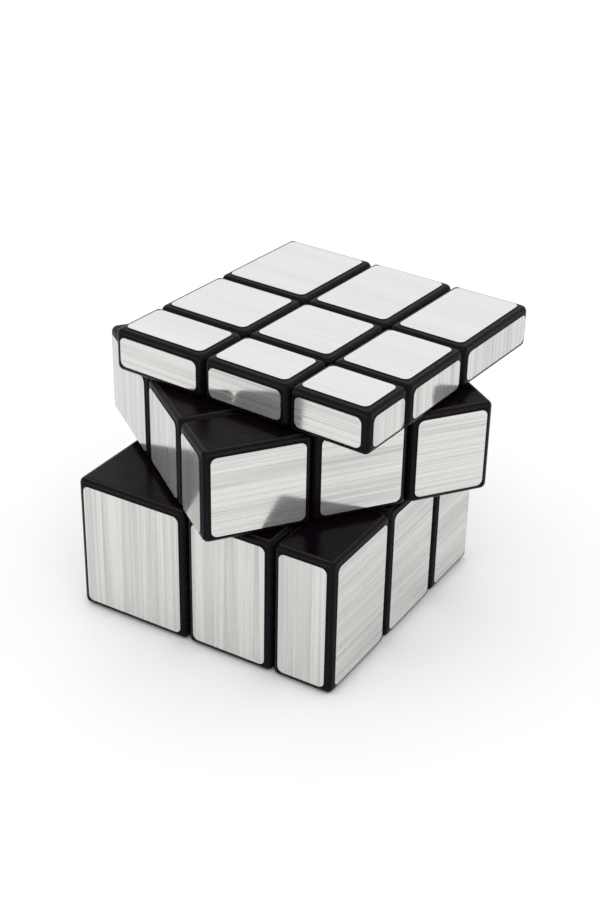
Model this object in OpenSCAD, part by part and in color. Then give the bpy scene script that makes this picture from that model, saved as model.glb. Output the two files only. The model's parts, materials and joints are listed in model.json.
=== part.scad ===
// Mirror block puzzle: a 3 x 3 x 3 twisty puzzle. Every block has the same colour and a
// different size, because the three slices along each axis are of unequal thickness.
// The blocks hang on a six-armed core. Each turning layer slides over its neighbour on a
// flat plane, a round step and a lower flat plane, all centred on the layer's own axis.

/* [Block thicknesses] */
// Thickness of the middle slice, the same along all three axes
middle_block = 19; // [18:0.5:20]
// Thickness of the left slice
left_block = 21; // [13:1:29]
// Thickness of the right slice
right_block = 17; // [13:1:29]
// Thickness of the front slice
front_block = 13; // [11:1:29]
// Thickness of the back slice
back_block = 25; // [13:1:29]
// Thickness of the bottom slice
bottom_block = 29; // [13:1:32]
// Thickness of the top slice
top_block = 9; // [9:0.5:29]

/* [Pose] */
// Turn of the middle layer from the bottom layer, in degrees
middle_angle = -36.7; // [-180:0.1:180]
// Turn of the top layer from the bottom layer, in degrees
top_angle = -94.1; // [-180:0.1:180]

/* [Shells] */
// Radius of every rounded block edge and corner
edge_round = 1.25; // [0.8:0.05:1.3]
// Wall thickness of the hollow shells
wall = 1.5; // [1.2:0.1:1.8]
// Distance from a cut plane to the block on either side of it
gap = 0.15; // [0.12:0.01:0.2]
// Play between two pieces that are glued or clipped together
joint_play = 0.05; // [0.03:0.01:0.08]

/* [Foils] */
// Thickness of a mirror foil
foil_thick = 0.15; // [0.1:0.05:0.3]
// Bare margin beside a cut
foil_margin = 1.45; // [1.4:0.05:2]
// Bare margin beside an outer edge of the puzzle
foil_edge = 1.5; // [1.4:0.05:2]
// Corner radius of a foil
foil_round = 1.25; // [1:0.05:2]

/* [Mechanism] */
// Height of the lower turning plane above the core's centre
lower_plane = 5; // [4.9:0.1:5.2]
// Radius of the round step between the two turning planes
step_r = 16; // [15.8:0.1:16.1]
// Radius of the core's ball
ball_r = 7.2; // [6.8:0.1:7.3]
// Radius of the core's arms
arm_r = 4.2; // [3.8:0.1:4.4]
// Length of a core arm, from the centre of the core
arm_reach = 9; // [8.6:0.1:9.2]
// Radius of the glue peg on an edge foot
edge_peg_r = 2.3; // [2:0.1:2.4]
// Radius of the glue peg on a corner foot
corner_peg_r = 1.2; // [1:0.05:1.25]

/* [Fasteners] */
// Radius of a screw's shank
shank_r = 1.45; // [1.4:0.01:1.5]
// Radius of a screw's head
head_r = 2.9; // [2.7:0.1:3]
// Height of a screw's head
head_high = 1.8; // [1.6:0.1:2]
// Length of a screw below its head
screw_long = 12; // [11:0.5:12.5]
// Length of the crossed recess in a screw's head
recess_long = 3.2; // [2.8:0.1:3.4]
// Width of each slot of the crossed recess
recess_wide = 0.6; // [0.5:0.05:0.8]
// Depth of the crossed recess
recess_deep = 1.1; // [0.9:0.1:1.3]
// Play between a screw and the centre block that turns on it
turning_play = 0.08; // [0.06:0.01:0.12]
// Height of the space between the well's floor and the washer
spring_room = 3.2; // [3:0.1:3.3]
// Outside radius of a spring
spring_r = 2.8; // [2.6:0.1:3]
// Radius of the spring wire
wire_r = 0.25; // [0.2:0.01:0.3]
// Turns of a spring
spring_turns = 3.5; // [3:0.5:4]
// Outside radius of a washer
washer_r = 3.1; // [2.9:0.1:3.2]
// Thickness of a washer
washer_thick = 0.5; // [0.3:0.1:0.6]

/* [Hidden] */
$fn = 64;

// Axes are numbered 0 (left to right), 1 (front to back) and 2 (bottom to top).
// A side or a slice is -1, 0 or 1 along its axis.
X = 0;
Y = 1;
Z = 2;
half = middle_block / 2;
blocks = [[left_block, right_block], [front_block, back_block], [bottom_block, top_block]];
core_z = half + bottom_block;
far = 60;
overlap = 0.5;

shell_color = [0.09, 0.085, 0.1];
foot_color = [0.16, 0.16, 0.17];
core_color = [0.82, 0.82, 0.8];
steel_color = [0.68, 0.69, 0.7];
foil_color = [0.84, 0.85, 0.84];

// Clear space round the core's ball, and the sphere that parts a corner's shell and foot
hub_r = ball_r + 0.4;
corner_split_r = sqrt(pow(step_r - gap, 2) + pow(half + gap, 2)) - 0.2;
edge_split_r = step_r + gap;

// How deep a glue peg is rooted in its foot, how far it stands out, and the room past its tip
peg_root = 2;
peg_high = 2 * wall;
tip_play = 0.3;

// Heights along a face's own axis, from the centre of the core
stem_bottom = arm_reach + 2 * gap;
well_floor = stem_bottom + wall;
washer_low = well_floor + spring_room;
head_low = washer_low + washer_thick;
head_top = head_low + head_high;
head_rim = head_top - 0.4 * head_high;
head_top_r = 0.72 * head_r;
screw_tip = head_low - screw_long;
cavity_floor = step_r + gap + 1.8;

// The centre blocks' wells, stems and clip-on caps
well_r = 3.5;
stem_r = lower_plane - 2 * gap;
cap_thick = edge_round + 0.15;
skirt_deep = 2;
plug_deep = 0.5;
plug_wall = 1;

// Distance from the centre of the core to an outer face
function reach(axis, side) = half + blocks[axis][side > 0 ? 1 : 0];

// Where the plastic of a shell ends, under the foil
function skin(axis, side) = reach(axis, side) - foil_thick;

// Turn of a layer about the vertical axis
function layer_angle(slice) = slice > 0 ? top_angle : slice < 0 ? 0 : middle_angle;

// First and last point of a foil along one axis
function foil_span(axis, slice) =
  slice < 0 ? [foil_edge - reach(axis, -1), -half - foil_margin] :
  slice > 0 ? [half + foil_margin, reach(axis, 1) - foil_edge] :
  [foil_margin - half, half - foil_margin];

// Turns the axes round by n steps of X to Y to Z to X
module cycle_axes(n) {
  if (n > 0) rotate([90, 0, 90]) cycle_axes(n - 1) children();
  else children();
}

// Mirrors a shape made for the positive side of each axis
module to_sides(sx, sy, sz) {
  mirror([sx < 0 ? 1 : 0, 0, 0]) mirror([0, sy < 0 ? 1 : 0, 0]) mirror([0, 0, sz < 0 ? 1 : 0]) children();
}

// Puts a shape from the core's frame into its layer's place on the table
module in_layer(slice) {
  translate([0, 0, core_z]) rotate([0, 0, layer_angle(slice)]) children();
}

// Puts a shape made on +Z onto one end of an axis
module on_axis(axis, side) {
  to_sides(axis == X ? side : 1, axis == Y ? side : 1, axis == Z ? side : 1)
    cycle_axes((axis + 1) % 3) children();
}

// Puts a shape made on all six ends of the three axes
module on_all_axes() {
  for (axis = [X, Y, Z]) for (side = [-1, 1]) on_axis(axis, side) children();
}

module rounded_rect(w, h, r) {
  translate([r, 0]) square([w - 2 * r, h]);
  translate([0, r]) square([w, h - 2 * r]);
  for (x = [r, w - r]) for (y = [r, h - r]) translate([x, y]) circle(r);
}

module box(low, high) {
  translate(low) cube(high - low);
}

// A block from corner low to corner high with every edge and corner rounded
module rounded_block(low, high, r) {
  a = low + r * [1, 1, 1];
  b = high - r * [1, 1, 1];
  box([low[X], a[Y], a[Z]], [high[X], b[Y], b[Z]]);
  box([a[X], low[Y], a[Z]], [b[X], high[Y], b[Z]]);
  box([a[X], a[Y], low[Z]], [b[X], b[Y], high[Z]]);
  for (x = [a[X], b[X]]) for (y = [a[Y], b[Y]]) for (z = [a[Z], b[Z]])
    translate([x, y, z]) sphere(r);
  for (x = [a[X], b[X]]) for (y = [a[Y], b[Y]])
    translate([x, y, a[Z]]) cylinder(r = r, h = b[Z] - a[Z]);
  for (y = [a[Y], b[Y]]) for (z = [a[Z], b[Z]])
    translate([a[X], y, z]) rotate([0, 90, 0]) cylinder(r = r, h = b[X] - a[X]);
  for (x = [a[X], b[X]]) for (z = [a[Z], b[Z]])
    translate([x, a[Y], z]) rotate([-90, 0, 0]) cylinder(r = r, h = b[Y] - a[Y]);
}

// Room that belongs to the layer on +Z
module layer_zone() {
  translate([0, 0, lower_plane + gap]) cylinder(r = step_r - gap, h = far);
  box([-far, -far, half + gap], [far, far, far]);
}

// Room that the layer on +Z needs to turn, taken from every piece outside it
module turning_zone() {
  translate([0, 0, lower_plane - gap]) cylinder(r = step_r + gap, h = far);
  box([-far, -far, half - gap], [far, far, far]);
}

// Glue peg of a foot, on +Z, where the foot ends at split_r
module peg(r, split_r) {
  translate([0, 0, split_r - peg_root]) cylinder(r = r, h = peg_root + peg_high);
}

// Hole in a shell for a glue peg of radius r
module peg_hole(r, split_r) {
  translate([0, 0, split_r - overlap]) cylinder(r = r + joint_play, h = overlap + peg_high + tip_play);
}

module toward_corner() {
  rotate([0, acos(1 / sqrt(3)), 45]) children();
}

module toward_edge() {
  rotate([0, 90, 45]) children();
}

// ---- corner blocks, made in the octant where all three axes are positive ----

module corner_shell(sx, sy, sz) {
  outer = [skin(X, sx), skin(Y, sy), skin(Z, sz)];
  inner = (half + gap) * [1, 1, 1];
  color(shell_color) in_layer(sz) to_sides(sx, sy, sz) difference() {
    rounded_block(inner, outer, edge_round);
    sphere(corner_split_r + joint_play);
    difference() {
      box(inner + wall * [1, 1, 1], outer - wall * [1, 1, 1]);
      sphere(corner_split_r + wall);
    }
    toward_corner() peg_hole(corner_peg_r, corner_split_r);
  }
}

module corner_foot(sx, sy, sz) {
  color(foot_color) in_layer(sz) to_sides(sx, sy, sz) {
    difference() {
      intersection() {
        sphere(corner_split_r);
        layer_zone();
        cycle_axes(1) layer_zone();
        cycle_axes(2) layer_zone();
      }
      sphere(hub_r);
    }
    toward_corner() peg(corner_peg_r, corner_split_r);
  }
}

// ---- edge blocks, made between +X and +Y and turned to their place ----

// The two outer faces that an edge block meets once its axes are cycled from X and Y
function edge_outer(free_axis, s) =
  [skin((free_axis + 1) % 3, s[(free_axis + 1) % 3]), skin((free_axis + 2) % 3, s[(free_axis + 2) % 3])];

module edge_place(sx, sy, sz, free_axis) {
  in_layer(sz) to_sides(sx, sy, sz) cycle_axes((free_axis + 1) % 3) children();
}

module edge_shell(sx, sy, sz) {
  free_axis = sx == 0 ? X : sy == 0 ? Y : Z;
  face = edge_outer(free_axis, [sx, sy, sz]);
  inner = [half + gap, half + gap, gap - half];
  outer = [face[0], face[1], half - gap];
  color(shell_color) edge_place(sx, sy, sz, free_axis) difference() {
    rounded_block(inner, outer, edge_round);
    cylinder(r = edge_split_r, h = 2 * far, center = true);
    difference() {
      box(inner + wall * [1, 1, 1], outer - wall * [1, 1, 1]);
      cylinder(r = edge_split_r + wall, h = 2 * far, center = true);
    }
    toward_edge() peg_hole(edge_peg_r, edge_split_r);
  }
}

module edge_foot(sx, sy, sz) {
  free_axis = sx == 0 ? X : sy == 0 ? Y : Z;
  color(foot_color) edge_place(sx, sy, sz, free_axis) {
    difference() {
      intersection() {
        cylinder(r = edge_split_r - joint_play, h = 2 * (lower_plane - gap), center = true);
        cycle_axes(1) layer_zone();
        cycle_axes(2) layer_zone();
      }
      sphere(hub_r);
    }
    toward_edge() peg(edge_peg_r, edge_split_r);
  }
}

// ---- centre blocks, made on +Z ----

module centre_base(axis, side) {
  rim = skin(axis, side) - cap_thick;
  side_r = half - gap;
  inner_r = side_r - wall;
  color(shell_color) in_layer(axis == Z ? side : 0) on_axis(axis, side) difference() {
    union() {
      difference() {
        translate([-side_r, -side_r, half + gap])
          linear_extrude(rim - half - gap) rounded_rect(2 * side_r, 2 * side_r, edge_round);
        for (a = [X, Y]) for (s = [-1, 1]) on_axis(a, s) turning_zone();
      }
      translate([0, 0, stem_bottom]) cylinder(r = stem_r, h = well_floor - stem_bottom);
    }
    cylinder(r = shank_r + turning_play, h = far);
    translate([0, 0, well_floor]) cylinder(r = well_r, h = far);
    if (rim > cavity_floor + skirt_deep)
      box([-inner_r, -inner_r, cavity_floor], [inner_r, inner_r, far]);
  }
}

module centre_cap(axis, side) {
  rim = skin(axis, side) - cap_thick;
  side_r = half - gap;
  skirt_r = side_r - wall - joint_play;
  plug_r = well_r - joint_play;
  deep = rim > cavity_floor + skirt_deep;
  color(shell_color) in_layer(axis == Z ? side : 0) on_axis(axis, side) {
    intersection() {
      rounded_block([-side_r, -side_r, rim - 2 * edge_round], [side_r, side_r, rim + cap_thick], edge_round);
      box([-far, -far, rim], [far, far, far]);
    }
    difference() {
      if (deep) box([-skirt_r, -skirt_r, rim - skirt_deep], [skirt_r, skirt_r, rim + overlap]);
      else translate([0, 0, rim - plug_deep]) cylinder(r = plug_r, h = plug_deep + overlap);
      if (deep) box([wall - skirt_r, wall - skirt_r, -far], [skirt_r - wall, skirt_r - wall, rim]);
      else translate([0, 0, -far]) cylinder(r = plug_r - plug_wall, h = far + rim);
    }
  }
}

// ---- core and fasteners ----

module core() {
  color(core_color) in_layer(0) difference() {
    union() {
      sphere(ball_r);
      on_all_axes() cylinder(r = arm_r, h = arm_reach);
    }
    on_all_axes() translate([0, 0, screw_tip - tip_play]) cylinder(r = shank_r + joint_play, h = far);
  }
}

// Pan-head screw on +Z with a crossed recess in its head
module screw() {
  difference() {
    union() {
      translate([0, 0, screw_tip]) cylinder(r = shank_r, h = screw_long + overlap);
      translate([0, 0, head_low]) cylinder(r = head_r, h = head_rim - head_low);
      translate([0, 0, head_rim]) cylinder(r1 = head_r, r2 = head_top_r, h = head_top - head_rim);
    }
    for (a = [0, 90]) rotate([0, 0, a])
      translate([-recess_long / 2, -recess_wide / 2, head_top - recess_deep])
        cube([recess_long, recess_wide, 2 * recess_deep]);
  }
}

module centre_screws() {
  color(steel_color) in_layer(0) on_all_axes() screw();
}

module centre_washers() {
  color(steel_color) in_layer(0) on_all_axes() difference() {
    translate([0, 0, washer_low]) cylinder(r = washer_r, h = washer_thick);
    cylinder(r = shank_r + gap, h = far);
  }
}

// Steps in one turn of a coil spring, sides of its wire, and the play at each end
coil_steps = 14;
coil_sides = 6;
coil_play = 0.02;
coil_rings = round(spring_turns * coil_steps);
coil_low = well_floor + wire_r + coil_play;
coil_rise = washer_low - wire_r - coil_play - coil_low;

// Ring number i of a coil spring's wire, as points round the wire
function coil_ring(i) = [
  for (k = [0 : coil_sides - 1])
    let (turn = 360 * i / coil_steps, around = 360 * k / coil_sides)
    let (r = spring_r - wire_r + wire_r * cos(around))
    [r * cos(turn), r * sin(turn), coil_low + coil_rise * i / coil_rings + wire_r * sin(around)]
];

// Coil spring on +Z
module spring() {
  points = [for (i = [0 : coil_rings]) each coil_ring(i)];
  last = coil_rings * coil_sides;
  sides = [
    for (i = [0 : coil_rings - 1]) for (k = [0 : coil_sides - 1])
      let (a = i * coil_sides + k, b = i * coil_sides + (k + 1) % coil_sides)
      [a, a + coil_sides, b + coil_sides, b]
  ];
  first_end = [for (k = [0 : coil_sides - 1]) k];
  last_end = [for (k = [coil_sides - 1 : -1 : 0]) last + k];
  polyhedron(points, concat(sides, [first_end, last_end]));
}

module centre_springs() {
  color(steel_color) in_layer(0) on_all_axes() spring();
}

// ---- foils ----

// One foil on an outer face; slices are its block's place along the face's two other axes
module foil(axis, side, slice_a, slice_b) {
  a = foil_span((axis + 1) % 3, slice_a);
  b = foil_span((axis + 2) % 3, slice_b);
  on_axis(axis, side) translate([a[0], b[0], skin(axis, side)])
    linear_extrude(foil_thick) rounded_rect(a[1] - a[0], b[1] - b[0], foil_round);
}

// The foils round the four upright faces of one layer
module side_foils(slice) {
  for (side = [-1, 1]) for (k = [-1, 0, 1]) {
    foil(X, side, k, slice);
    foil(Y, side, slice, k);
  }
}

// The nine foils on the top or the bottom face
module end_foils(side) {
  for (i = [-1, 0, 1]) for (j = [-1, 0, 1]) foil(Z, side, i, j);
}

module top_layer_foils() {
  color(foil_color) in_layer(1) {
    side_foils(1);
    end_foils(1);
  }
}

module middle_layer_foils() {
  color(foil_color) in_layer(0) side_foils(0);
}

module bottom_layer_foils() {
  color(foil_color) in_layer(-1) side_foils(-1);
}

module bottom_face_foils() {
  color(foil_color) in_layer(-1) end_foils(-1);
}

core();
centre_screws();
centre_springs();
centre_washers();

centre_base(Z, 1);  // top_centre_base
centre_cap(Z, 1);  // top_centre_cap
centre_base(Z, -1);  // bottom_centre_base
centre_cap(Z, -1);  // bottom_centre_cap
centre_base(Y, -1);  // front_centre_base
centre_cap(Y, -1);  // front_centre_cap
centre_base(Y, 1);  // back_centre_base
centre_cap(Y, 1);  // back_centre_cap
centre_base(X, -1);  // left_centre_base
centre_cap(X, -1);  // left_centre_cap
centre_base(X, 1);  // right_centre_base
centre_cap(X, 1);  // right_centre_cap

edge_shell(0, -1, 1);  // top_front_edge_shell
edge_foot(0, -1, 1);  // top_front_edge_foot
edge_shell(0, 1, 1);  // top_back_edge_shell
edge_foot(0, 1, 1);  // top_back_edge_foot
edge_shell(-1, 0, 1);  // top_left_edge_shell
edge_foot(-1, 0, 1);  // top_left_edge_foot
edge_shell(1, 0, 1);  // top_right_edge_shell
edge_foot(1, 0, 1);  // top_right_edge_foot
edge_shell(-1, -1, 0);  // middle_front_left_edge_shell
edge_foot(-1, -1, 0);  // middle_front_left_edge_foot
edge_shell(1, -1, 0);  // middle_front_right_edge_shell
edge_foot(1, -1, 0);  // middle_front_right_edge_foot
edge_shell(-1, 1, 0);  // middle_back_left_edge_shell
edge_foot(-1, 1, 0);  // middle_back_left_edge_foot
edge_shell(1, 1, 0);  // middle_back_right_edge_shell
edge_foot(1, 1, 0);  // middle_back_right_edge_foot
edge_shell(0, -1, -1);  // bottom_front_edge_shell
edge_foot(0, -1, -1);  // bottom_front_edge_foot
edge_shell(0, 1, -1);  // bottom_back_edge_shell
edge_foot(0, 1, -1);  // bottom_back_edge_foot
edge_shell(-1, 0, -1);  // bottom_left_edge_shell
edge_foot(-1, 0, -1);  // bottom_left_edge_foot
edge_shell(1, 0, -1);  // bottom_right_edge_shell
edge_foot(1, 0, -1);  // bottom_right_edge_foot

corner_shell(-1, -1, 1);  // top_front_left_corner_shell
corner_foot(-1, -1, 1);  // top_front_left_corner_foot
corner_shell(1, -1, 1);  // top_front_right_corner_shell
corner_foot(1, -1, 1);  // top_front_right_corner_foot
corner_shell(-1, 1, 1);  // top_back_left_corner_shell
corner_foot(-1, 1, 1);  // top_back_left_corner_foot
corner_shell(1, 1, 1);  // top_back_right_corner_shell
corner_foot(1, 1, 1);  // top_back_right_corner_foot
corner_shell(-1, -1, -1);  // bottom_front_left_corner_shell
corner_foot(-1, -1, -1);  // bottom_front_left_corner_foot
corner_shell(1, -1, -1);  // bottom_front_right_corner_shell
corner_foot(1, -1, -1);  // bottom_front_right_corner_foot
corner_shell(-1, 1, -1);  // bottom_back_left_corner_shell
corner_foot(-1, 1, -1);  // bottom_back_left_corner_foot
corner_shell(1, 1, -1);  // bottom_back_right_corner_shell
corner_foot(1, 1, -1);  // bottom_back_right_corner_foot

top_layer_foils();
middle_layer_foils();
bottom_layer_foils();
bottom_face_foils();
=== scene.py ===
"""A mirror block puzzle, standing on a pale floor with its three layers turned out of line.

The black shells are the CAD parts. The foils, springs and screws are modelled here, and every
surface gets its own procedural material. Lengths are in metres.
"""
import json
import math
import random

import bmesh
import bpy
from mathutils import Matrix, Vector


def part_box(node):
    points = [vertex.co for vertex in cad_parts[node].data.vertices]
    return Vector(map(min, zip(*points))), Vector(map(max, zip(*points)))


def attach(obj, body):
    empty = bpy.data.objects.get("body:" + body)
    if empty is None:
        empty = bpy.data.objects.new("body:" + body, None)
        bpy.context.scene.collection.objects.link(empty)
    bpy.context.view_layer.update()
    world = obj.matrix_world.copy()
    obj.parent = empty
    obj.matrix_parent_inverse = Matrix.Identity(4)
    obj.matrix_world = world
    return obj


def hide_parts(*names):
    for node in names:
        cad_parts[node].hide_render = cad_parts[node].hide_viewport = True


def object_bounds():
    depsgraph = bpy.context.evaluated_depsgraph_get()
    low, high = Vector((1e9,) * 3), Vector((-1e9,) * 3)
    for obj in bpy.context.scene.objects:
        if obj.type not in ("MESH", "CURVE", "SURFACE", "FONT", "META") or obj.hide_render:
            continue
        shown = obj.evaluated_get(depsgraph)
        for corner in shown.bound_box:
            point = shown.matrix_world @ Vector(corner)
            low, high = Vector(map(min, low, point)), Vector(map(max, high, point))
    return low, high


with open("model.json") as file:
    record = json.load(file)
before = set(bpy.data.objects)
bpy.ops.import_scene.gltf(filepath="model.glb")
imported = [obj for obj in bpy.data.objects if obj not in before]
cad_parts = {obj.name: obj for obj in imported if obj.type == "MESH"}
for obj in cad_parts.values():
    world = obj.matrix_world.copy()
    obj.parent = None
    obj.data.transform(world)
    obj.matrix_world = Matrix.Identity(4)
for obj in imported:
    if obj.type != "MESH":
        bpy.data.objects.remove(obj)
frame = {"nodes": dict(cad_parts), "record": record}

cad_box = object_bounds()
MM = 0.001
UP = Vector((0, 0, 1))
rng = random.Random(57)

# The pieces at each layer's left and right ends, which show where its own X axis points
LAYER_ENDS = {
    "top_layer": ("top_left_edge_shell", "top_right_edge_shell"),
    "middle_layer": ("left_centre_cap", "right_centre_cap"),
    "bottom_layer": ("bottom_left_edge_shell", "bottom_right_edge_shell"),
}
# The CAD's foil nodes, and the layer that each belongs to
FOIL_NODES = {
    "top_layer_foils": "top_layer",
    "middle_layer_foils": "middle_layer",
    "bottom_layer_foils": "bottom_layer",
    "bottom_face_foils": "bottom_layer",
}


def node_centre(name):
    low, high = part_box(name)
    return (low + high) / 2


def layer_axes(layer):
    """The directions of a layer's own X, Y and Z axes at rest."""
    left, right = LAYER_ENDS[layer]
    along = node_centre(right) - node_centre(left)
    along.z = 0
    x_axis = along.normalized()
    return x_axis, UP.cross(x_axis), UP


def add_object(name, data):
    """A new object, put in the scene."""
    item = bpy.data.objects.new(name, data)
    bpy.context.scene.collection.objects.link(item)
    return item


def nodes_of(tree_owner):
    """The emptied node tree of a material or a world."""
    tree_owner.use_nodes = True
    tree_owner.node_tree.nodes.clear()
    return tree_owner.node_tree


# ---- materials -------------------------------------------------------------------------

# Sockets of a Mix node, which has a set for each kind of data
NUMBER_A = 2
NUMBER_B = 3
COLOR_A = 6
COLOR_B = 7
COLOR_RESULT = 2


class Maker:
    """A short way to write one material's nodes."""

    def __init__(self, name):
        self.material = bpy.data.materials.new(name)
        self.tree = nodes_of(self.material)
        self.out = self.add("OutputMaterial")
        self.shader = self.add("BsdfPrincipled")
        self.link(self.shader, 0, self.out, 0)

    def add(self, kind, **settings):
        node = self.tree.nodes.new("ShaderNode" + kind)
        for key, value in settings.items():
            setattr(node, key, value)
        return node

    def link(self, source, output, target, socket):
        self.tree.links.new(source.outputs[output], target.inputs[socket])

    def set(self, **values):
        """Sets uniform values on the shader; an underscore stands for a space."""
        for key, value in values.items():
            self.shader.inputs[key.replace("_", " ")].default_value = value

    def noise(self, source, output, scale, detail, rough=0.5, stretch=(1, 1, 1)):
        """Noise over a coordinate, stretched along its axes; scale is in cycles a unit."""
        mapping = self.add("Mapping")
        mapping.inputs["Scale"].default_value = stretch
        self.link(source, output, mapping, "Vector")
        noise = self.add("TexNoise")
        noise.inputs["Scale"].default_value = scale
        noise.inputs["Detail"].default_value = detail
        noise.inputs["Roughness"].default_value = rough
        self.link(mapping, 0, noise, "Vector")
        return noise

    def spread(self, source, low, high, bottom=0.3, top=0.7):
        """Maps a noise's own range, from bottom to top, onto low to high."""
        fit = self.add("MapRange")
        fit.inputs["From Min"].default_value = bottom
        fit.inputs["From Max"].default_value = top
        fit.inputs["To Min"].default_value = low
        fit.inputs["To Max"].default_value = high
        self.link(source, 0, fit, "Value")
        return fit

    def ramp(self, source, stops):
        """Colors by the value of the source; stops are places and colors."""
        ramp = self.add("ValToRGB")
        while len(ramp.color_ramp.elements) < len(stops):
            ramp.color_ramp.elements.new(0.5)
        for element, (place, color) in zip(ramp.color_ramp.elements, stops):
            element.position = place
            element.color = (*color, 1)
        self.link(source, 0, ramp, 0)
        return ramp

    def maths(self, operation, first, second):
        node = self.add("Math", operation=operation)
        self.link(first, 0, node, 0)
        self.link(second, 0, node, 1)
        return node

    def blend(self, first, second, share):
        """A mix of two numbers; share is how much of it is the second."""
        mix = self.add("Mix", data_type="FLOAT")
        mix.inputs["Factor"].default_value = share
        self.link(first, 0, mix, NUMBER_A)
        self.link(second, 0, mix, NUMBER_B)
        return mix

    def bump(self, source, strength, distance, before=None):
        bump = self.add("Bump")
        bump.inputs["Strength"].default_value = strength
        bump.inputs["Distance"].default_value = distance
        self.link(source, 0, bump, "Height")
        if before is not None:
            self.link(before, 0, bump, "Normal")
        return bump


# How strongly a rounded edge gets its paler line, partly rubbing and partly painted highlight, by how
# nearly its surface faces along an axis
EDGE_WEAR_AND_HIGHLIGHT = [(0.8, 0.06), (0.88, 0.5), (0.925, 1.0), (0.95, 0.8), (0.985, 0.0)]
# The least that a patch of an edge has of its paler line of rubbing and painted highlight
LEAST_PATCH = 0.35
# Painted highlight, as from light above: the share of the paler line on upright edges, and how far up
# a surface must face to have all of it
UPRIGHT_HIGHLIGHT_SHARE = 0.2
FULL_HIGHLIGHT_RISE = 0.85


def leaning(m, place, axes):
    """1 where a surface faces along an axis of its layer, and less on an edge between two."""
    most = None
    for axis in axes:
        dot = m.add("VectorMath", operation="DOT_PRODUCT")
        m.link(place, "Normal", dot, 0)
        dot.inputs[1].default_value = axis
        size = m.add("Math", operation="ABSOLUTE")
        m.link(dot, "Value", size, 0)
        most = size if most is None else m.maths("MAXIMUM", most, size)
    return most


def rub_and_highlight_edges(m, place, axes, rubs, color, pale):
    """The color, mixed with a paler one in a broken line along rounded edges: partly edge rubbing, and
    partly a painted highlight that is strongest on upper edges, as if lit from above.
    """
    edge = m.ramp(leaning(m, place, axes), [(lean, (wear_and_highlight,) * 3) for lean, wear_and_highlight in EDGE_WEAR_AND_HIGHLIGHT])
    patch = m.spread(rubs, low=LEAST_PATCH, high=1)
    # Painted highlight: upper edges get more of the paler line, as if lit from above
    direction = m.add("SeparateXYZ")
    m.link(place, "Normal", direction, 0)
    lit_from_above = m.add("MapRange")
    m.link(direction, "Z", lit_from_above, "Value")
    lit_from_above.inputs["From Max"].default_value = FULL_HIGHLIGHT_RISE
    lit_from_above.inputs["To Min"].default_value = UPRIGHT_HIGHLIGHT_SHARE
    wear_and_highlight = m.maths("MULTIPLY", m.maths("MULTIPLY", edge, patch), lit_from_above)
    rubbed_and_highlit = m.add("Mix", data_type="RGBA")
    m.link(wear_and_highlight, 0, rubbed_and_highlit, "Factor")
    m.link(color, 0, rubbed_and_highlit, COLOR_A)
    rubbed_and_highlit.inputs[COLOR_B].default_value = (*pale, 1)
    return rubbed_and_highlit


def moulded_plastic(name, dark, light, roughness, texture, gloss, wear_and_highlight_tone=None, axes=None):
    """Moulded plastic: faint mottling, a skin that ripples a little, and fine rubbing marks.

    Given a paler color and its layer's axes, the rounded edges get a broken paler line: partly
    rubbing, and partly a painted highlight that is strongest on upper edges.
    """
    m = Maker(name)
    place = m.add("TexCoord")
    broad = m.noise(place, "Object", scale=90, detail=3)
    fine = m.noise(place, "Object", scale=2600, detail=2)
    rubs = m.noise(place, "Object", scale=900, detail=5, rough=0.65, stretch=(1, 0.12, 0.5))
    color = m.ramp(broad, [(0.35, dark), (0.7, light)])
    if wear_and_highlight_tone:
        rubbed_and_highlit = rub_and_highlight_edges(m, place, axes, rubs, color, wear_and_highlight_tone)
        m.link(rubbed_and_highlit, COLOR_RESULT, m.shader, "Base Color")
    else:
        m.link(color, 0, m.shader, "Base Color")
    m.link(m.spread(rubs, *roughness), 0, m.shader, "Roughness")
    skin = m.bump(fine, strength=texture, distance=0.02 * MM)
    ripple = m.bump(broad, strength=0.12, distance=0.2 * MM, before=skin)
    m.link(ripple, 0, m.shader, "Normal")
    m.set(IOR=1.49, Specular_IOR_Level=gloss)
    return m.material


# Cycles a metre along and across a foil's grain: its finest hairs, its lines and its broad bands
HAIR = (45, 5200, 1)
LINE = (14, 1500, 1)
BAND = (9, 330, 1)


def brushed_foil(name, tone, shade):
    """Silver foil: part mirror and part scattered light, under a long straight grain.

    The grain's darkest streaks have shade times the tone.
    """
    m = Maker(name)
    uv = m.add("UVMap", uv_map="grain")
    hair = m.noise(uv, 0, scale=1, detail=3, rough=0.6, stretch=HAIR)
    line = m.noise(uv, 0, scale=1, detail=2, stretch=LINE)
    band = m.noise(uv, 0, scale=1, detail=2, stretch=BAND)
    grain = m.blend(hair, line, share=0.65)
    streak = m.blend(grain, band, share=0.34)
    color = m.ramp(streak, [(0.36, tuple(shade * part for part in tone)), (0.56, tone)])
    m.link(color, 0, m.shader, "Base Color")
    m.link(m.spread(grain, low=0.18, high=0.08, bottom=0.35, top=0.6), 0, m.shader, "Roughness")
    m.link(m.spread(streak, low=0.61, high=0.82, bottom=0.38, top=0.6), 0, m.shader, "Metallic")
    fine = m.bump(hair, strength=0.05, distance=0.01 * MM)
    wave = m.bump(line, strength=0.05, distance=0.03 * MM, before=fine)
    m.link(wave, 0, m.shader, "Normal")
    tangent = m.add("Tangent", direction_type="UV_MAP", uv_map="grain")
    m.link(tangent, 0, m.shader, "Tangent")
    m.set(Anisotropic=0.5, IOR=1.45, Specular_Tint=(0.86, 0.86, 0.86, 1))
    return m.material


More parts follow.
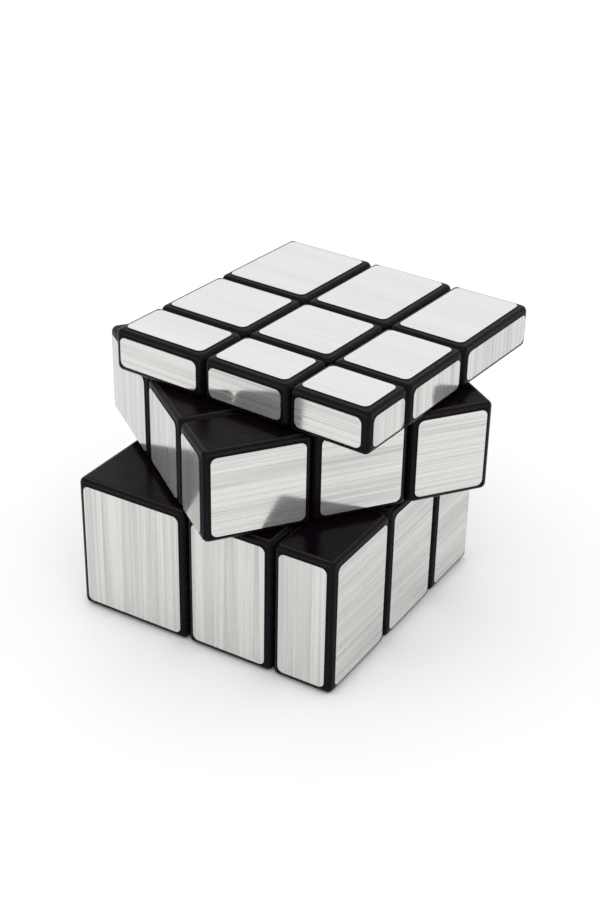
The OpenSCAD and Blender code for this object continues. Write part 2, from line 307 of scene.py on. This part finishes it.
def cut_edge(name):
    """The dull dark cut edge of a foil, where its film and glue show."""
    m = Maker(name)
    place = m.add("TexCoord")
    cloud = m.noise(place, "Object", scale=1800, detail=4)
    color = m.ramp(cloud, [(0.3, (0.02, 0.02, 0.021)), (0.7, (0.05, 0.05, 0.052))])
    m.link(color, 0, m.shader, "Base Color")
    m.link(m.spread(cloud, low=0.4, high=0.6), 0, m.shader, "Roughness")
    m.set(Specular_IOR_Level=0.1)
    return m.material


def zinc_steel(name):
    """Zinc-plated steel, slightly clouded."""
    m = Maker(name)
    place = m.add("TexCoord")
    cloud = m.noise(place, "Object", scale=700, detail=4)
    color = m.ramp(cloud, [(0.3, (0.5, 0.5, 0.51)), (0.7, (0.72, 0.72, 0.71))])
    m.link(color, 0, m.shader, "Base Color")
    m.link(m.spread(cloud, low=0.22, high=0.4), 0, m.shader, "Roughness")
    m.link(m.bump(cloud, strength=0.15, distance=0.05 * MM), 0, m.shader, "Normal")
    m.set(Metallic=1)
    return m.material


def black_shell(layer):
    """The black plastic of one layer's blocks."""
    # The paler color on the rounded edges is partly rubbing and partly a painted highlight
    return moulded_plastic(
        "black_plastic_" + layer, dark=(0.003, 0.0014, 0.0028), light=(0.005, 0.0026, 0.0048),
        roughness=(0.2, 0.34), texture=0.2, gloss=0.07,
        wear_and_highlight_tone=(0.037, 0.034, 0.04), axes=layer_axes(layer),
    )


def paint_nodes(steel):
    """Gives each CAD node its material; what isn't a foot, the core or steel is a black shell."""
    looks = {
        "foot_plastic": moulded_plastic(
            "black_foot_plastic", dark=(0.006, 0.006, 0.0065), light=(0.011, 0.0105, 0.0115),
            roughness=(0.36, 0.5), texture=0.5, gloss=0.15,
        ),
        "core_plastic": moulded_plastic(
            "white_core_plastic", dark=(0.62, 0.61, 0.57), light=(0.72, 0.71, 0.68),
            roughness=(0.34, 0.48), texture=0.5, gloss=0.4,
        ),
        "steel": steel,
    }
    shells = {layer: black_shell(layer) for layer in LAYER_ENDS}
    bodies = frame["record"]["behaviour"]["bodies"]
    layer_of = {node: layer for layer, nodes in bodies.items() for node in nodes}
    for part in frame["record"]["subparts"]:
        node = part["node"]
        look = looks.get(part["material_slot"], shells[layer_of[node]])
        for place in frame["nodes"][node].material_slots:
            place.material = look


# ---- camera, floor and light -----------------------------------------------------------

# The eye, from the centre of the core, and the way it looks
EYE = Vector((-236.4, -137.2, 144.6)) * MM
LOOK_AZIMUTH = math.radians(-59.31)
LOOK_DOWN = math.radians(29.10)
ROLL = math.radians(1.10)
# Focal length and width of the sensor, in millimetres as Blender takes them
LENS = 64.26
SENSOR = 36
NEAREST = 10 * MM

# Half the side of the floor
FLOOR_REACH = 3.0
FLOOR_COLOR = (0.925, 0.926, 0.922, 1)

WORLD_STRENGTH = 1.1
# The lamp's place from the centre of the core, its width and its power
LAMP_PLACE = Vector((-0.5, -0.5, 1.1))
LAMP_WIDTH = 0.9
LAMP_POWER = 1.6


def make_camera():
    data = bpy.data.cameras.new("camera")
    data.lens = LENS
    data.sensor_width = SENSOR
    data.clip_start = NEAREST
    camera = add_object("camera", data)
    away = Vector((
        math.sin(LOOK_AZIMUTH) * math.cos(LOOK_DOWN),
        -math.cos(LOOK_AZIMUTH) * math.cos(LOOK_DOWN),
        math.sin(LOOK_DOWN),
    ))
    turn = away.to_track_quat("Z", "Y").to_matrix().to_4x4() @ Matrix.Rotation(ROLL, 4, "Z")
    camera.matrix_world = Matrix.Translation(node_centre("core") + EYE) @ turn
    bpy.context.scene.camera = camera


def make_floor():
    mesh = bpy.data.meshes.new("floor")
    corners = [(x * FLOOR_REACH, y * FLOOR_REACH, 0) for x, y in ((-1, -1), (1, -1), (1, 1), (-1, 1))]
    mesh.from_pydata(corners, [], [(0, 1, 2, 3)])
    floor = add_object("floor", mesh)
    floor.location.z = cad_box[0].z
    m = Maker("pale_floor")
    m.set(Base_Color=FLOOR_COLOR, Roughness=0.55, Specular_IOR_Level=0.1)
    mesh.materials.append(m.material)


def make_lamp(place, aim):
    """A round lamp that shines from place towards aim."""
    data = bpy.data.lights.new("key", "AREA")
    data.shape = "DISK"
    data.size = LAMP_WIDTH
    data.energy = LAMP_POWER
    lamp = add_object("key", data)
    lamp.location = place
    lamp.rotation_mode = "QUATERNION"
    lamp.rotation_quaternion = (aim - place).to_track_quat("-Z", "Y")


def make_light():
    world = bpy.data.worlds.new("studio")
    bpy.context.scene.world = world
    tree = nodes_of(world)
    out = tree.nodes.new("ShaderNodeOutputWorld")
    back = tree.nodes.new("ShaderNodeBackground")
    back.inputs["Color"].default_value = (1, 1, 1, 1)
    back.inputs["Strength"].default_value = WORLD_STRENGTH
    tree.links.new(back.outputs[0], out.inputs[0])
    core = node_centre("core")
    make_lamp(core + LAMP_PLACE, core)
    view = bpy.context.scene.view_settings
    view.view_transform = "Standard"
    view.look = "None"


# ---- solids of the CAD nodes -----------------------------------------------------------

# Points of one solid that lie nearer than this are one point
WELD = 0.001 * MM


def separate_solids(node):
    """The points of each separate solid in a CAD node, in the order of the node's own points."""
    work = bmesh.new()
    work.from_mesh(frame["nodes"][node].data)
    bmesh.ops.remove_doubles(work, verts=work.verts, dist=WELD)
    seen = set()
    solids = []
    for start in work.verts:
        if start in seen:
            continue
        seen.add(start)
        stack = [start]
        members = []
        while stack:
            vertex = stack.pop()
            members.append(vertex.co.copy())
            for edge in vertex.link_edges:
                other = edge.other_vert(vertex)
                if other not in seen:
                    seen.add(other)
                    stack.append(other)
        solids.append(members)
    work.free()
    return solids


def centre_of(points):
    return sum(points, Vector()) / len(points)


def rounded_centre(points):
    """The centre of some points, to a tenth of a millimetre."""
    return [round(part, 4) for part in centre_of(points)]


def span_along(points, axis):
    """Lowest and highest of some points along an axis."""
    heights = [p.dot(axis) for p in points]
    return min(heights), max(heights)


# ---- foils -----------------------------------------------------------------------------

FOIL_ROUND = 1.25 * MM
FOIL_BEVEL = 0.05 * MM
# How much of the bevel's depth and width its middle ring has
BEVEL_MIDDLE = 0.3
CORNER_STEPS = 10
# Where the cut edge's material is in a foil's list
RIM = 1
# Each foil's grain starts somewhere in a square of this side
GRAIN_ROOM = 40
# The faces at the low and the high end of a layer's X, Y and Z axes
LOW_FACES = ("left", "front", "bottom")
HIGH_FACES = ("right", "back", "top")
# Places of the axes in a list of a layer's three
X = 0
Y = 1
Z = 2


def thin_axis(points, axes):
    """Which of three axes a plate is thinnest along."""
    spans = [span_along(points, axis) for axis in axes]
    widths = [high - low for low, high in spans]
    return widths.index(min(widths))


def foil_outline(width, height, inset):
    """A rounded rectangle about the origin, counter-clockwise."""
    radius = FOIL_ROUND - inset
    half_w = width / 2 - inset
    half_h = height / 2 - inset
    points = []
    for quarter, (sx, sy) in enumerate([(1, 1), (-1, 1), (-1, -1), (1, -1)]):
        for step in range(CORNER_STEPS + 1):
            angle = math.pi / 2 * (quarter + step / CORNER_STEPS)
            points.append((
                sx * (half_w - radius) + radius * math.cos(angle),
                sy * (half_h - radius) + radius * math.sin(angle),
            ))
    return points


def foil_mesh(name, width, height, thick, grain_along_width):
    """A thin plate from z 0 to thick with a softened upper rim, and UVs in metres along the grain."""
    work = bmesh.new()
    levels = [
        (0, 0),
        (0, thick - FOIL_BEVEL),
        (FOIL_BEVEL * BEVEL_MIDDLE, thick - FOIL_BEVEL * BEVEL_MIDDLE),
        (FOIL_BEVEL, thick),
    ]
    rings = [[work.verts.new((x, y, z)) for x, y in foil_outline(width, height, inset)]
             for inset, z in levels]
    count = len(rings[0])
    for lower, upper in zip(rings, rings[1:]):
        for i in range(count):
            j = (i + 1) % count
            work.faces.new((lower[i], lower[j], upper[j], upper[i])).material_index = RIM
    work.faces.new(rings[-1])
    work.faces.new(list(reversed(rings[0])))
    grain = work.loops.layers.uv.new("grain")
    shift = (rng.uniform(0, GRAIN_ROOM), rng.uniform(0, GRAIN_ROOM))
    for face in work.faces:
        for loop in face.loops:
            x, y = loop.vert.co.x, loop.vert.co.y
            along, across = (x, y) if grain_along_width else (y, x)
            loop[grain].uv = (along + shift[0], across + shift[1])
    mesh = bpy.data.meshes.new(name)
    work.to_mesh(mesh)
    work.free()
    mesh.validate()
    return mesh


def foil_in_place(name, points, axes, thin, side):
    """A foil that takes the room of a plate's points; side is 1 at the high end of its thin axis."""
    normal = axes[thin] * side
    # The grain runs upright on the left and right faces, and along X on the others
    upright_grain = thin == X
    across = axes[Y if upright_grain else X] * side
    upright = normal.cross(across)
    left, right = span_along(points, across)
    low, high = span_along(points, upright)
    back, front = span_along(points, normal)
    middle = across * (left + right) / 2 + upright * (low + high) / 2 + normal * back
    foil = add_object(name, foil_mesh(name, right - left, high - low, front - back, not upright_grain))
    turn = Matrix((across, upright, normal)).transposed().to_4x4()
    foil.matrix_world = Matrix.Translation(middle) @ turn
    return foil


def make_foils():
    """Fifty-four foils, each in the place of one solid of the CAD foil nodes."""
    # Lit and shaded copies of one foil: the upright foils get a darker, warmer tone as painted shade,
    # and the upward ones a paler, bluer tone as painted light
    shaded_side_look = brushed_foil("foil_side_shaded", tone=(0.70, 0.702, 0.683), shade=0.66)
    lit_end_look = brushed_foil("foil_end_lit", tone=(0.74, 0.748, 0.748), shade=0.88)
    rim = cut_edge("foil_cut_edge")
    core = node_centre("core")
    for node, body in FOIL_NODES.items():
        axes = layer_axes(body)
        counts = {}
        first = None
        for points in sorted(separate_solids(node), key=rounded_centre):
            thin = thin_axis(points, axes)
            side = 1 if (centre_of(points) - core).dot(axes[thin]) > 0 else -1
            face = (HIGH_FACES if side > 0 else LOW_FACES)[thin]
            counts[face] = counts.get(face, 0) + 1
            name = f"foil_{body.split('_')[0]}_{face}_{counts[face]}"
            foil = foil_in_place(name, points, axes, thin, side)
            foil.data.materials.append(lit_end_look if thin == Z else shaded_side_look)
            foil.data.materials.append(rim)
            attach(foil, body)
            if first is None:
                first = foil
        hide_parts(node)


# ---- springs and screws ----------------------------------------------------------------

WIRE_R = 0.25 * MM
SPRING_TURNS = 3.5
WIRE_SIDES = 14
TURN_STEPS = 48

SCREW_SIDES = 40
THREAD_PITCH = 0.9 * MM
THREAD_DEEP = 0.28 * MM
# Rings in one pitch of the thread, and how much narrower than the pitch its ridge is
THREAD_STEPS = 10
RIDGE_SHARPNESS = 1.3
# Length of the screw's point, and its width at the tip as a share of the shank's
SCREW_POINT = 1.6 * MM
TIP_SHARE = 0.45

# Parts of a screw head's height: its lower chamfer, and where its dome starts
HEAD_CHAMFER = 0.05
DOME_LOW = 0.35
# Width of the flat on the dome, as a share of the head's, and the dome's rings
FLAT_SHARE = 0.45
DOME_STEPS = 9
RECESS_HALF_LONG = 1.6 * MM
RECESS_HALF_WIDE = 0.3 * MM
RECESS_DEEP = 1.1 * MM

# A step smaller than this along a screw, or in its radius, is no step
SAME = 0.1 * MM
# Edges that bend more than this are drawn sharp
SHARP = math.radians(40)


def measure_along(points, along):
    """How far each point is along an axis from the core, and how far it is from that axis."""
    core = node_centre("core")
    heights = [(p - core).dot(along) for p in points]
    radii = [((p - core) - along * h).length for p, h in zip(points, heights)]
    return heights, radii


def tube_mesh(name, rings):
    """A closed tube through rings of points, with flat ends."""
    work = bmesh.new()
    rows = [[work.verts.new(point) for point in ring] for ring in rings]
    for lower, upper in zip(rows, rows[1:]):
        for i in range(len(lower)):
            j = (i + 1) % len(lower)
            work.faces.new((lower[i], lower[j], upper[j], upper[i])).smooth = True
    work.faces.new(list(reversed(rows[0])))
    work.faces.new(rows[-1])
    bmesh.ops.recalc_face_normals(work, faces=work.faces)
    mesh = bpy.data.meshes.new(name)
    work.to_mesh(mesh)
    work.free()
    mesh.set_sharp_from_angle(angle=SHARP)
    return mesh


def spring_mesh(low, high, outer_r):
    """A coil spring along +Z."""
    mid_r = outer_r - WIRE_R
    steps = round(SPRING_TURNS * TURN_STEPS)
    rise = high - low - 2 * WIRE_R
    rings = []
    for i in range(steps + 1):
        turn = math.tau * i / TURN_STEPS
        height = low + WIRE_R + rise * i / steps
        ring = []
        for k in range(WIRE_SIDES):
            around = math.tau * k / WIRE_SIDES
            r = mid_r + WIRE_R * math.cos(around)
            ring.append((r * math.cos(turn), r * math.sin(turn), height + WIRE_R * math.sin(around)))
        rings.append(ring)
    return tube_mesh("spring", rings)


def circle(r, z):
    turns = [math.tau * k / SCREW_SIDES for k in range(SCREW_SIDES)]
    return [(r * math.cos(turn), r * math.sin(turn), z) for turn in turns]


def thread_ring(tip, z, shank_r):
    """One ring of a threaded shank that narrows to its tip."""
    narrow = min(1, TIP_SHARE + (1 - TIP_SHARE) * (z - tip) / SCREW_POINT)
    ring = []
    for k in range(SCREW_SIDES):
        phase = ((z - tip) / THREAD_PITCH - k / SCREW_SIDES) % 1
        crest = max(0, 1 - abs(2 * phase - 1) * RIDGE_SHARPNESS)
        r = (shank_r - THREAD_DEEP * (1 - crest)) * narrow
        turn = math.tau * k / SCREW_SIDES
        ring.append((r * math.cos(turn), r * math.sin(turn), z))
    return ring


def head_rings(head_low, head_top, head_r):
    """The rings of a pan head: a chamfer, a short upright side, a dome and a flat top."""
    high = head_top - head_low
    rings = [
        circle(head_r - HEAD_CHAMFER * high, head_low),
        circle(head_r, head_low + HEAD_CHAMFER * high),
        circle(head_r, head_low + DOME_LOW * high),
    ]
    for i in range(1, DOME_STEPS):
        lean = math.pi / 2 * i / DOME_STEPS
        r = head_r * (FLAT_SHARE + (1 - FLAT_SHARE) * math.cos(lean))
        rings.append(circle(r, head_low + high * (DOME_LOW + (1 - DOME_LOW) * math.sin(lean))))
    rings.append(circle(head_r * FLAT_SHARE, head_top))
    return rings


def recess_mesh(top):
    """The cross that is cut into a screw's head."""
    arm = [
        (RECESS_HALF_LONG, RECESS_HALF_WIDE),
        (RECESS_HALF_WIDE, RECESS_HALF_WIDE),
        (RECESS_HALF_WIDE, RECESS_HALF_LONG),
    ]
    cross = []
    for quarter in range(4):
        cross += arm
        arm = [(-y, x) for x, y in arm]
    ends = (top - RECESS_DEEP, top + RECESS_DEEP)
    return tube_mesh("recess", [[(x, y, z) for x, y in cross] for z in ends])


def screw_mesh(tip, head_low, head_top, shank_r, head_r):
    """A pan-head screw along +Z, with a crossed recess in its domed head."""
    shank = head_low - tip
    steps = round(shank / THREAD_PITCH * THREAD_STEPS)
    rings = [thread_ring(tip, tip + shank * i / steps, shank_r) for i in range(steps)]
    rings.append(circle(shank_r, head_low))
    rings += head_rings(head_low, head_top, head_r)
    body = add_object("screw_body", tube_mesh("screw", rings))
    tool = add_object("screw_recess", recess_mesh(head_top))
    cut = body.modifiers.new("recess", "BOOLEAN")
    cut.object = tool
    cut.operation = "DIFFERENCE"
    cut.solver = "EXACT"
    bpy.context.view_layer.update()
    done = bpy.data.meshes.new_from_object(body.evaluated_get(bpy.context.evaluated_depsgraph_get()))
    for helper in (body, tool):
        bpy.data.objects.remove(helper)
    done.set_sharp_from_angle(angle=SHARP)
    return done


def place_on_axes(node, make, name):
    """Puts a piece in the place of each solid of a CAD node, on the core's six arms.

    The mesh is made once, from the first solid's heights along its arm and radii round it.
    """
    core = node_centre("core")
    x_axis, y_axis, z_axis = layer_axes("middle_layer")
    arms = {
        "right": x_axis, "left": -x_axis,
        "back": y_axis, "front": -y_axis,
        "top": z_axis, "bottom": -z_axis,
    }
    mesh = None
    for points in separate_solids(node):
        centre = centre_of(points) - core
        arm = max(arms, key=lambda a: centre.dot(arms[a]))
        if mesh is None:
            mesh = make(*measure_along(points, arms[arm]))
        piece = add_object(f"{arm}_{name}", mesh)
        turn = arms[arm].to_track_quat("Z", "Y").to_matrix().to_4x4()
        piece.matrix_world = Matrix.Translation(core) @ turn
        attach(piece, "middle_layer")
        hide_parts(node)


def make_springs(steel):
    def make(heights, radii):
        mesh = spring_mesh(min(heights), max(heights), max(radii))
        mesh.materials.append(steel)
        return mesh
    place_on_axes("centre_springs", make, "spring")


def make_screws(steel):
    def make(heights, radii):
        tip = min(heights)
        shank_r = max(r for h, r in zip(heights, radii) if h < tip + SAME)
        head_low = min(h for h, r in zip(heights, radii) if r > shank_r + SAME)
        mesh = screw_mesh(tip, head_low, max(heights), shank_r, max(radii))
        mesh.materials.clear()
        mesh.materials.append(steel)
        return mesh
    place_on_axes("centre_screws", make, "screw")


make_camera()
make_floor()
make_light()
steel = zinc_steel("zinc_steel")
paint_nodes(steel)
make_foils()
make_springs(steel)
make_screws(steel)
